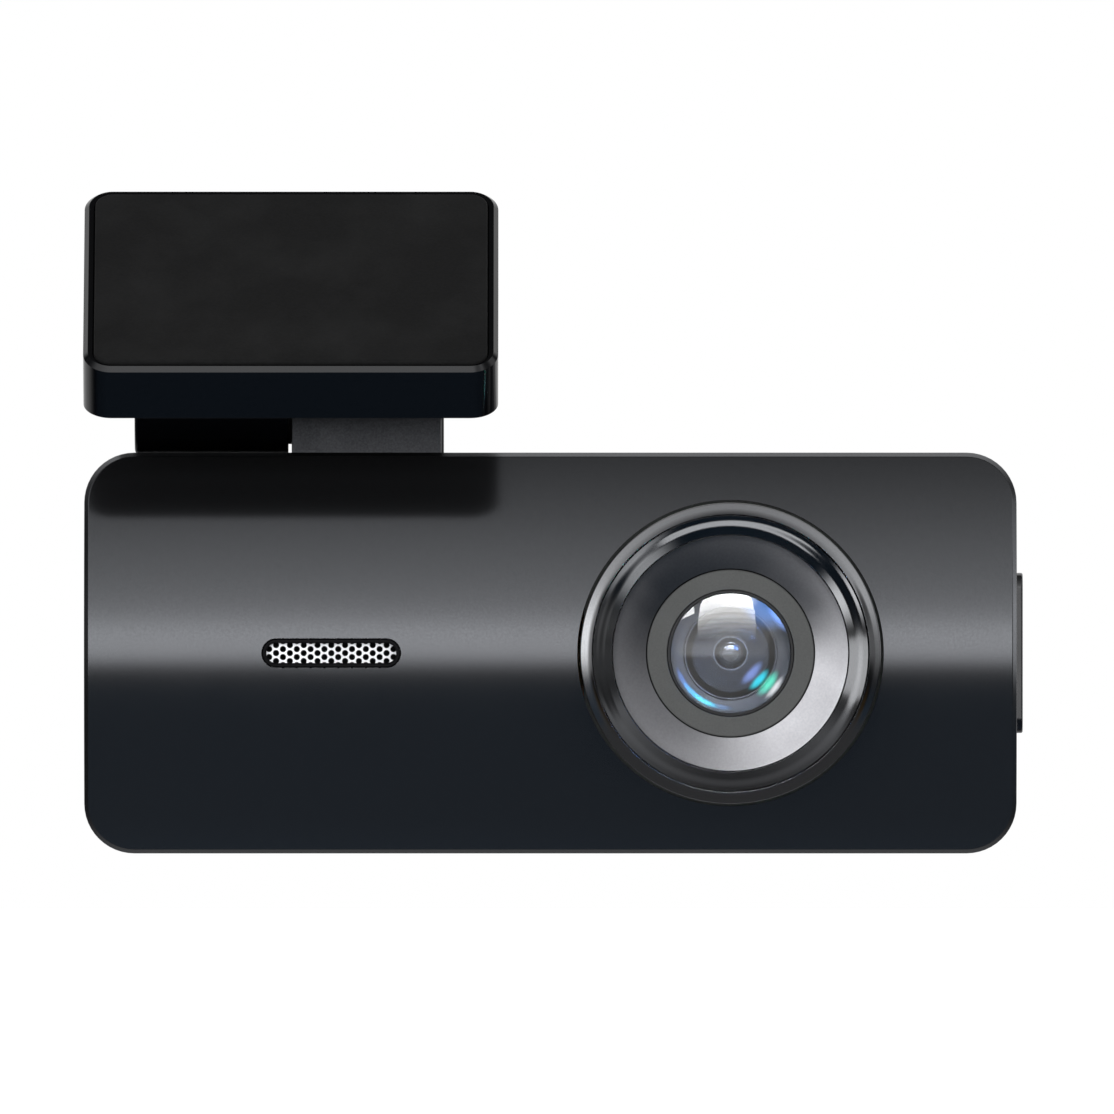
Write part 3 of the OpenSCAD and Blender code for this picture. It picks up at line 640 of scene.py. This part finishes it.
def bracket_ring(inset, level):
    """Outline of the bracket; level gives each point's height in the pad's frame."""
    ring = rounded(0, LOW_EDGE + BRACKET_L / 2, BRACKET_W - 2 * inset, BRACKET_L - 2 * inset,
                   BRACKET_R - inset, n=14)
    return [pad_point((x, y, level(y))) for x, y, ox, oy in ring]


def pad_ring(gap, z):
    ring = rounded(0, 0, PAD_W + 2 * gap, PAD_L + 2 * gap, PAD_R + gap, n=14)
    return [pad_point((x, y, z)) for x, y, ox, oy in ring]


def bracket_shell():
    """From the pad's recess over the bevelled rim to the sloping underside."""
    rings = [pad_ring(0.05, -PAD_T), pad_ring(0.05, RIM_Z - 0.1), pad_ring(0.15, RIM_Z)]
    rings += [bracket_ring(RIM_BEVEL, lambda y: RIM_Z), bracket_ring(0.0, lambda y: RIM_Z - RIM_BEVEL)]
    rings += [bracket_ring(i, lambda y, d=drop: under_z(y) + d) for i, drop, c, s in fillet(0.12, 4)]
    make("bracket shell", *loft(rings), "gloss_black", "bracket", ["bracket_shell"], "gloss_black")


def adhesive_pad():
    rings = [pad_ring(0.0, -PAD_T)] + [pad_ring(-inset, -drop) for inset, drop, c, s in fillet(0.18, 5)]
    make("adhesive pad", *loft(rings), "foam_tape", "bracket", ["adhesive_pad"], "foam_tape")


bracket_shell()
adhesive_pad()


# ---------- hinge ----------

def knuckle_ring(x, inset, tilt, reach, hole=None, radius=KNUCKLE_R):
    """Round-ended profile on the hinge axis, or a circle (hole) that matches it point for point."""
    r = radius - inset
    turns = [-math.pi * i / 40 for i in range(41)]
    local = [(r, reach * (1 - i / 4)) for i in range(4)]
    local += [(r * math.cos(a), r * math.sin(a)) for a in turns]
    local += [(-r, reach * i / 4) for i in range(1, 5)]
    local += [(-r + 2 * r * i / 6, reach) for i in range(1, 6)]
    if hole:
        local = [(hole * math.cos(math.atan2(v, u)), hole * math.sin(math.atan2(v, u))) for u, v in local]
    c, s = math.cos(tilt), math.sin(tilt)
    return [body_point((x, AXIS_Y + u * c - v * s, AXIS_Z + u * s + v * c)) for u, v in local]


def standing_ring(x, inset):
    """Profile that stands on the roof of the case."""
    return knuckle_ring(x, inset, math.pi, AXIS_Z - HALF_H)


def hinge_arm():
    """Round-ended arm from the axis up to the bracket's underside, with the recess of the pin's cap."""
    left, right = ARM_X
    rings = [knuckle_ring(left + d, 0, UNDER, REACH, RECESS_R, ARM_R) for d in (RECESS_DEEP, 0)]
    rings += [knuckle_ring(left + d, i, UNDER, REACH, None, ARM_R)
              for i, d, c, s in reversed(fillet(0.3, 6))]
    rings += [knuckle_ring(right - d, i, UNDER, REACH, None, ARM_R) for i, d, c, s in fillet(0.12, 4)]
    make("hinge arm", *loft(rings), "gloss_black", "bracket", ["hinge_arm"], "gloss_black")


def body_knuckle():
    left, right = KNUCKLE_X
    rings = [standing_ring(left + d, i) for i, d, c, s in reversed(fillet(0.12, 4))]
    rings.append(standing_ring(right, 0))
    make("body knuckle", *loft(rings), "knuckle_grey", "camera", ["body_knuckle"], "knuckle_grey")


def hinge_cap_right():
    """Thin plate that closes the body knuckle."""
    start = KNUCKLE_X[1]
    rings = [standing_ring(start, END_CAP_INSET), standing_ring(start + 0.02, END_CAP_INSET)]
    rings += [standing_ring(start + END_CAP_T - d, END_CAP_INSET + i) for i, d, c, s in fillet(0.2, 5)]
    make("hinge cap right", *loft(rings), "gloss_black", "camera", ["hinge_cap_right"], "gloss_black")


def hinge_cap_left():
    """Round cap over the pin's head, in the arm's recess."""
    start = ARM_X[0] + PIN_CAP_SUNK
    rings = []
    for inset, drop in [(0, PIN_CAP_T)] + [(i, d) for i, d, c, s in fillet(0.25, 6)]:
        ring = circle(AXIS_Y, AXIS_Z, PIN_CAP_R - inset, 64)
        rings.append([body_point((start + drop, y, z)) for y, z, oy, oz in ring])
    make("hinge cap left", *loft(rings), "gloss_black", "bracket", ["hinge_cap_left"], "gloss_black")


hinge_arm()
body_knuckle()
hinge_cap_right()
hinge_cap_left()


# ---------- lens: metal rings ----------

def bezel_slope(r):
    """Flat near the bezel's edge, steeper towards its narrow lip."""
    return 20 + 21 * max(0, (13.35 - r) / 0.53) ** 1.2


def trim_slope(r):
    """The funnel of the trim ring is flattest half way."""
    return 27 + 11 * min(1, abs(r - 11.98) / 0.42) ** 2


bezel = [(TURRET_R, 3.72)] + arc(TURRET_R - 0.14, 3.78, 0.14, 0, 70, 7)
bezel = slanted(bezel, 13.76, 12.82, 24, bezel_slope)
bezel += [(BORE_R, bezel[-1][1] - 0.12), (BORE_R, BORE_END), (THROAT_R, BORE_END)]
bezel += [(THROAT_R, BORE_END - 1.2), (BORE_R, BORE_END - 1.2), (BORE_R, BEZEL_END), (TURRET_R, BEZEL_END)]
turned("lens bezel", bezel, "dark_bezel", "camera", ["lens_bezel"], "dark_bezel", segments=256, smooth=50)

trim = slanted([(TRIM_IN, 3.06), (10.93, 3.12)], 10.93, 12.65, 48, trim_slope)
trim = [(TRIM_IN, BORE_END)] + trim + [(TRIM_OUT, trim[-1][1] - 0.05), (TRIM_OUT, BORE_END)]
turned("lens trim ring", trim, "bowl_metal", "camera", ["lens_trim_ring"], "turned_metal",
       segments=256, smooth=40)

cone = [(CONE_R, 2.15)]
cone += [(CONE_R + 3.03 * i / 12, 2.15 + 0.93 * i / 12 + 0.06 * math.sin(math.pi * i / 12))
         for i in range(1, 12)]
cone += [(10.82, CONE_TOP), (10.86, 2.95), (10.86, BORE_END), (THROAT_R, BORE_END), (THROAT_R, 2)]
cone.append((CONE_R, 1.4))
turned("lens cone", cone, "turned_metal", "camera", ["lens_cone"], "turned_metal", segments=256)

collar = [(5.87, 1.7), (5.87, 2.26), (5.93, 2.3), (7.6, 2.3), (7.68, 2.24), (7.68, 1.7)]
turned("lens collar", collar, "collar_grey", "camera", ["lens_collar"], "collar_grey")

# The barrel steps inwards from the front element's seat to the inner elements
barrel = [(5.53, 0.2), (5.53, 2.16), (5.58, 2.22), (5.78, 2.22), (5.84, 2.14), (5.84, 1.7), (7.7, 1.7),
          (7.7, -2), (5.95, -2), (5.95, -12), (2.6, -12), (2.6, -3.6), (3.2, -3.6), (3.2, -1.2),
          (4.0, -1.2), (4.0, -0.3), (4.5, -0.3), (4.5, 0.2)]
turned("lens barrel", barrel, "barrel_black", "camera", ["lens_barrel"], "inner_black")


# ---------- lens: glass ----------

def second_look(obj, mat, chosen):
    """Another material for the faces that are chosen."""
    obj.data.materials.append(MAT[mat])
    for face in obj.data.polygons:
        face.material_index = 1 if chosen(face) else 0


def on_ball(face):
    """True on the small dome in the middle of the second element."""
    off = face.center - body_point((LENS_X, 0, 0))
    return math.hypot(off.x, off.z) < BALL_R / 1000 and face.normal.y < -0.1


def dome(apex, radius, end_r, n):
    """Profile of a domed surface from its apex on the axis out to a radius."""
    return [(0, apex)] + arc(0, apex - radius, radius, 90, math.degrees(math.acos(end_r / radius)), n)[1:]


# As high as a rounder dome of radius 8 would stand over an edge 2 mm forward of the crest
glass_apex = 2 + 8 - math.sqrt(8 ** 2 - GLASS_R ** 2)
hollow_start = math.degrees(math.asin((GLASS_BACK - HOLLOW_AT) / HOLLOW_R))
front = dome(glass_apex, GLASS_DOME, GLASS_R, 28) + [(GLASS_R, GLASS_BACK)]
front += arc(0, HOLLOW_AT, HOLLOW_R, hollow_start, 90, 24)[:-1] + [(0, HOLLOW_AT + HOLLOW_R)]
front_lens = turned("front lens", front, "lens_glass", "camera", ["front_lens"], "lens_glass")
second_look(front_lens, "inner_glass", lambda face: face.normal.y > 0.1)

# A small strong dome in the middle, then shallow steps that show as rings
second = dome(1.15, 1.45, 1.35, 16)
second += [(1.45, 0.22), (1.9, 0.3), (1.94, 0.24), (2.4, 0.1), (2.44, 0.04), (3.0, -0.16), (3.04, -0.23)]
second += [(3.5, -0.4), (3.54, -0.47), (3.95, -0.6), (3.95, -1.2), (0, -1.2)]
second_lens = turned("second lens", second, "inner_glass", "camera", ["second_lens"], "lens_glass")
second_look(second_lens, "ball_glass", on_ball)

third = dome(-1.7, 4.5, 3.15, 20) + [(3.15, -3.6), (0, -3.6)]
turned("third lens", third, "inner_glass", "camera", ["third_lens"], "lens_glass")

stop = [(1.2, -1.5), (1.2, -1.37), (3.15, -1.35), (3.15, -1.5)]
turned("aperture stop", stop, "fibre_black", "camera", ["aperture_stop"], "fibre_black")

spacer = [(3.75, 0.2), (3.75, 0.38), (3.85, 0.42), (3.95, 0.3), (4.6, 0.58), (5.5, 0.58), (5.5, 0.2)]
turned("lens spacer", spacer, "spacer_black", "camera", ["lens_spacer"], "fibre_black")

# ---------- grille frame ----------

FRAME_Y, FRAME_END = 0.35, WALL + 0.5
rings = []
for inset, y in [(0.03, FRAME_END), (0.03, FRAME_Y + 0.12), (0.15, FRAME_Y), (0.33, FRAME_Y),
                 (0.46, FRAME_Y + 0.14), (0.46, FRAME_END)]:
    rings.append([body_point((x - ox * inset, y, z - oz * inset)) for x, z, ox, oz in GRILLE_HOLE])
points, faces = loft(rings + [rings[0]], capped=False)
make("grille frame", points, faces, "frame_black", "camera", ["grille_frame"], "gloss_black")

# ---------- side key ----------

FLANGE = 0.6
rings = []
levels = [(-FLANGE, 2.88), (-FLANGE, 2.15), (0, 2.1)] + [(i, d) for i, d, c, s in fillet(0.18, 5)]
for inset, drop in levels:
    ring = rounded(KEY_Y, 0, KEY_W - 2 * inset, KEY_L - 2 * inset, KEY_R - max(inset, 0), n=10)
    rings.append([body_point((HALF_W + KEY_OUT - drop, y, z)) for y, z, oy, oz in ring])
make("side key cap", *loft(rings), "key_black", "side_key", ["side_key_cap"], "gloss_black")

# ---------- CAD nodes that stay: their materials ----------

slot_of = {s["node"]: s["material_slot"] for s in frame["record"]["subparts"]}
for name, obj in frame["nodes"].items():
    look = MAT[slot_of[name]]
    if name == "grille_mesh":
        look = MAT["mesh_steel"]
    if name.startswith("speaker"):
        look = MAT["frame_black"]
    obj.data.materials.clear()
    obj.data.materials.append(look)

# ---------- sky ----------

# Elevation in degrees and brightness: a bright horizon, less light upwards and hardly any from below
SKY_LEVELS = [(-90, 0.07), (-74, 0.07), (-60, 0.05), (-12, 0.05), (-5.5, 0.06), (-0.5, 2.1), (7, 2.1),
              (13, 1.25), (18, 1.0), (26, 0.8), (35, 0.66), (47, 0.47), (57, 0.35), (66, 0.26), (90, 0.15)]
SKY_TINT, LOW_TINT, LOW_BELOW = (1, 1.01, 1.03), (0.7, 1.11, 1.63), -8
SKY_STRENGTH = 2.0

world = bpy.data.worlds.new("studio")
scene.world = world
world.use_nodes = True
sky_tree = world.node_tree
sky_tree.nodes.clear()
direction = sky_tree.nodes.new("ShaderNodeTexCoord").outputs["Generated"]
axes = sky_tree.nodes.new("ShaderNodeSeparateXYZ")
sky_tree.links.new(direction, axes.inputs["Vector"])
rearward, upward = axes.outputs["Y"], axes.outputs["Z"]


def horizon():
    """Colour of the sky by elevation."""
    ramp = sky_tree.nodes.new("ShaderNodeValToRGB")
    elements = ramp.color_ramp.elements
    while len(elements) > 1:
        elements.remove(elements[-1])
    for k, (elevation, value) in enumerate(SKY_LEVELS):
        at = (math.sin(math.radians(elevation)) + 1) / 2
        e = elements[0] if k == 0 else elements.new(at)
        e.position = at
        tint = LOW_TINT if elevation < LOW_BELOW else SKY_TINT
        e.color = [value / SKY_STRENGTH * share for share in tint] + [1]
    sky_tree.links.new(ranged(sky_tree, upward, -1, 1, 0, 1), ramp.inputs["Fac"])
    return ramp.outputs["Color"]


def patch(toward, low, high, gain):
    """Factor of the sky round one direction: 1 outside, gain inside."""
    near = vector_math(sky_tree, "DOT_PRODUCT", direction, Vector(toward).normalized())
    return ranged(sky_tree, near, low, high, 1.0, gain, smooth=True)


def background(color, strength):
    node = sky_tree.nodes.new("ShaderNodeBackground")
    feed(sky_tree, color, node.inputs["Color"])
    socket(node, "Strength", strength)
    return node.outputs["Background"]


# Dark panels to the right, to the front right and to the left
dimmed = patch((0.891, -0.454, 0), 0.8746, 0.9426, 0.12)
dimmed = product(sky_tree, dimmed, patch((0.46, -0.89, 0), 0.95, 0.985, 0.4))
dimmed = product(sky_tree, dimmed, patch((-1, 0, 0), 0.7, 0.93, 0.05))
# Behind the object the bright horizon fades, so that the outer edges stay dark in the front view
dimmed = product(sky_tree, dimmed, ranged(sky_tree, rearward, 0.02, 0.25, 1.0, 0.12, smooth=True))
shaped = vector_math(sky_tree, "SCALE", horizon(), dimmed)
# Further behind it never falls below a soft grey, brighter upwards
behind = ranged(sky_tree, rearward, 0.2, 0.6, 0.0, 0.4, smooth=True)
rise = ranged(sky_tree, upward, -1, 1, 0.35, 1.5)
joined = vector_math(sky_tree, "MAXIMUM", shaped, product(sky_tree, behind, rise))
# The camera itself sees plain white
pick = sky_tree.nodes.new("ShaderNodeMixShader")
seen = sky_tree.nodes.new("ShaderNodeLightPath").outputs["Is Camera Ray"]
sky_tree.links.new(seen, pick.inputs["Fac"])
sky_tree.links.new(background(joined, SKY_STRENGTH), pick.inputs[1])
sky_tree.links.new(background((1, 1, 1, 1), 1.0), pick.inputs[2])
surface = sky_tree.nodes.new("ShaderNodeOutputWorld").inputs["Surface"]
sky_tree.links.new(pick.outputs["Shader"], surface)


# ---------- lights, each for the lens pieces of one collection ----------

def lit_alone(name, *pieces):
    group = bpy.data.collections.new(name)
    scene.collection.children.link(group)
    for piece in pieces:
        group.objects.link(scene.objects[piece + "_look"])
    return group


glass_only = lit_alone("glass", "front_lens", "second_lens", "third_lens")
cone_only = lit_alone("cone", "lens_cone")
bezel_only = lit_alone("rim", "lens_bezel")
trim_only = lit_alone("trim", "lens_trim_ring")
glass_at = Vector((LENS_X, -2, 0))
FAR = 300
WHITE = (1, 1, 1)


def softbox(name, at, toward, size, radiance, only, color=WHITE, soft=False):
    """Area light with a size in metres; a soft one fades from its middle to its edge."""
    light = bpy.data.lights.new(name, "AREA")
    light.shape = "RECTANGLE"
    light.size, light.size_y = size
    light.energy = radiance * math.pi * size[0] * size[1]
    light.color = color
    if soft:
        light.use_nodes = True
        tree = light.node_tree
        across = tree.nodes.new("ShaderNodeNewGeometry").outputs["Parametric"]
        off = vector_math(tree, "DISTANCE", across, (0.5, 0.5, 0))
        fade = ranged(tree, off, 0.5, 0.1, 0.0, 1.0, smooth=True)
        tree.links.new(fade, tree.nodes["Emission"].inputs["Strength"])
    obj = bpy.data.objects.new(name, light)
    scene.collection.objects.link(obj)
    obj.location = body_point(at)
    obj.rotation_euler = (body_point(toward) - body_point(at)).to_track_quat("-Z", "Y").to_euler()
    obj.light_linking.receiver_collection = only
    return obj


def seen_size(*degrees):
    """Sizes in metres of what spans these angles from the glass."""
    return [2 * FAR * math.tan(math.radians(angle / 2)) / 1000 for angle in degrees]


def window(name, azimuth, elevation, width, height, radiance, color=WHITE, only=glass_only,
           soft=False):
    """Light placed by azimuth (right of the front) and elevation from the glass, with its angular size."""
    a, e = math.radians(azimuth), math.radians(elevation)
    at = glass_at + FAR * Vector((math.sin(a) * math.cos(e), -math.cos(a) * math.cos(e), math.sin(e)))
    softbox(name, at, glass_at, seen_size(width, height), radiance, only, color, soft)


def glint(name, clock, off, width, height, radiance, color=WHITE):
    """Soft light on the glass, at an angle off the lens axis and an angle round it, where its width runs."""
    a, b = math.radians(clock), math.radians(off)
    out = Vector((math.sin(b) * math.cos(a), -math.cos(b), math.sin(b) * math.sin(a)))
    along = Vector((-math.sin(a), 0, math.cos(a)))
    at = glass_at + FAR * out
    obj = softbox(name, at, glass_at, seen_size(width, height), radiance, glass_only, color, soft=True)
    obj.rotation_euler = Matrix((along, out.cross(along), out)).transposed().to_euler()


PANE_TILT = math.radians(42)


def pane(name, sides, heights, radiance):
    """Part of the big window: sides and heights are slopes across a plane square to its tilt."""
    forward = Vector((0, -math.cos(PANE_TILT), math.sin(PANE_TILT)))
    up = Vector((0, math.sin(PANE_TILT), math.cos(PANE_TILT)))
    middle = forward + Vector((sum(sides) / 2, 0, 0)) + up * sum(heights) / 2
    size = [FAR * (high - low) / 1000 for low, high in (sides, heights)]
    at = glass_at + FAR * middle
    softbox(name, at, at - forward, size, radiance, glass_only)


# The big window is brighter and narrower towards its top
PANES, PANE_LOW, PANE_H = 10, -0.45, 0.1
for i in range(PANES):
    low = PANE_LOW + PANE_H * i
    mid = low + PANE_H / 2
    glow = 0.4 + 19.6 * min(1, (mid - PANE_LOW) / 0.7) ** 1.7
    pane("window %d" % i, (-0.64 + 0.265 * mid, 0.467 - 0.225 * mid), (low, low + PANE_H), glow)
pane("window left", (-1.15, -0.715), (0.17, 0.6), 17)
window("veil", -14, 5, 155, 145, 1.22, soft=True)
window("window right", 50, 46, 52, 54, 11, (0.1, 0.34, 1.0), soft=True)
glint("ball light", 84, 62, 46, 26, 18)
glint("ball glow", 36, 71, 36, 26, 24, (0.22, 0.4, 1.0))
glint("ball rim", 232, 74, 30, 12, 16)

# Coloured reflections: a stack at the lower right and an arc at the lower left
glint("reflector violet", 317, 32, 36, 14, 12, (0.25, 0.38, 1.0))
glint("reflector cyan", 317, 43, 32, 12, 20, (0.02, 0.8, 1.0))
glint("reflector green", 321, 54, 34, 16, 17, (0.05, 0.9, 0.6))
glint("reflector edge", 322, 63, 30, 9, 14)
for clock, radiance, color in [(210, 9, (0.1, 0.3, 1.0)), (226, 20, (0.05, 0.5, 1.0)),
                               (242, 22, (0.04, 0.75, 1.0)), (258, 5, (0.1, 0.4, 1.0))]:
    glint("reflector low left %d" % clock, clock, 61, 30, 9, radiance, color)

# Metal rings
window("cone key", -37, 29, 60, 62, 4.15, only=cone_only)
window("rim key", -62, 6, 44, 26, 0.42, only=bezel_only)
window("rim low", 0, -58, 130, 70, 0.045, (1, 0.55, 0.02), only=bezel_only)
window("trim key", -62, 6, 44, 26, 3.2, only=trim_only)
window("trim low", -6, -54, 60, 12, 3.6, only=trim_only)
window("trim low right", 51, -38, 30, 22, 1.4, only=trim_only, soft=True)
window("trim inner left", -77, -26, 20, 34, 6.5, only=trim_only, soft=True)
window("trim inner right", 72, -42, 44, 44, 2.2, only=trim_only, soft=True)
window("trim right", 64, -12, 40, 34, 0.55, only=trim_only, soft=True)

# ---------- floor ----------

FLOOR_Z, FLOOR_SIZE_M = -45, 6
bpy.ops.mesh.primitive_plane_add(size=FLOOR_SIZE_M, location=body_point((0, 0, FLOOR_Z)))
floor = bpy.context.active_object
floor.name = "floor"
pale = finish("floor", (0.8, 0.8, 0.8), 0.9, grain=0.01, grain_mm=50, Emission_Color=(1, 1, 1, 1),
              Emission_Strength=0.9)
# Clear from below, so that the underside of the object can be seen
tree = pale.node_tree
below = tree.nodes.new("ShaderNodeNewGeometry").outputs["Backfacing"]
clear = tree.nodes.new("ShaderNodeBsdfTransparent")
mix = tree.nodes.new("ShaderNodeMixShader")
tree.links.new(below, mix.inputs["Fac"])
tree.links.new(tree.nodes["Principled BSDF"].outputs["BSDF"], mix.inputs[1])
tree.links.new(clear.outputs["BSDF"], mix.inputs[2])
tree.links.new(mix.outputs["Shader"], tree.nodes["Material Output"].inputs["Surface"])
floor.data.materials.append(pale)
floor.visible_glossy = False

# ---------- camera ----------

# A very long lens straight in front; at PLANE_Y the picture is VIEW_W wide
SENSOR, FOCAL = 36, 1600
VIEW_X, VIEW_Z, VIEW_W, PLANE_Y = 0.61, 8.86, 102.78, 5
lens = bpy.data.cameras.new("camera")
lens.sensor_width = SENSOR
lens.lens = FOCAL
lens.clip_end = 50
eye = bpy.data.objects.new("camera", lens)
scene.collection.objects.link(eye)
eye.location = body_point((VIEW_X, PLANE_Y - VIEW_W * FOCAL / SENSOR, VIEW_Z))
eye.rotation_euler = (math.pi / 2, 0, 0)
scene.camera = eye
